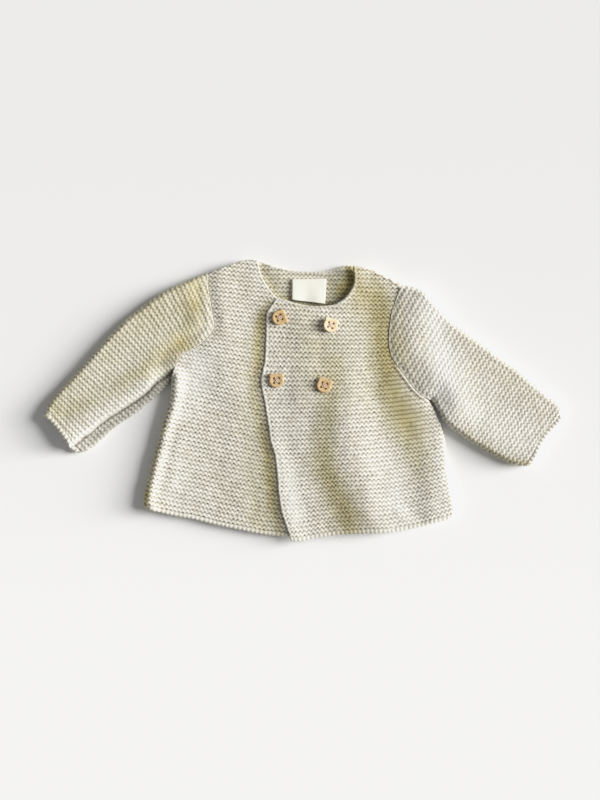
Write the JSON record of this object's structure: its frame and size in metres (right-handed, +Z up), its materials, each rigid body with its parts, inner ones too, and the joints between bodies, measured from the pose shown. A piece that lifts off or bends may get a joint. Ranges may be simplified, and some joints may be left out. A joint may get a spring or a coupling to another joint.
{
  "type": "baby cardigan",
  "caption": "Long-sleeved double-breasted baby cardigan in cream garter-stitch knit with wooden bear-head buttons, lying flat and buttoned.",
  "frame": {"origin": "middle of the underside: the bounding box's centre in X and Y, on the surface the cardigan lies on", "axes": "+X towards the wearer's left sleeve, +Y towards the neck, +Z up from the surface, out of the front of the cardigan"},
  "size_m": [0.4942, 0.2678, 0.0168],
  "materials": {
    "knit": "matt cream cotton yarn, garter stitch",
    "label_tape": "ivory woven tape, slight sheen",
    "beech": "bare sanded wood"
  },
  "bodies": {
    "root": {"back": "knit", "right_front": "knit", "left_front": "knit", "right_sleeve": "knit", "left_sleeve": "knit", "neck_label": "label_tape", "button_upper_edge": "beech", "button_upper_inner": "beech", "button_lower_edge": "beech", "button_lower_inner": "beech"}
  },
  "joints": []
}
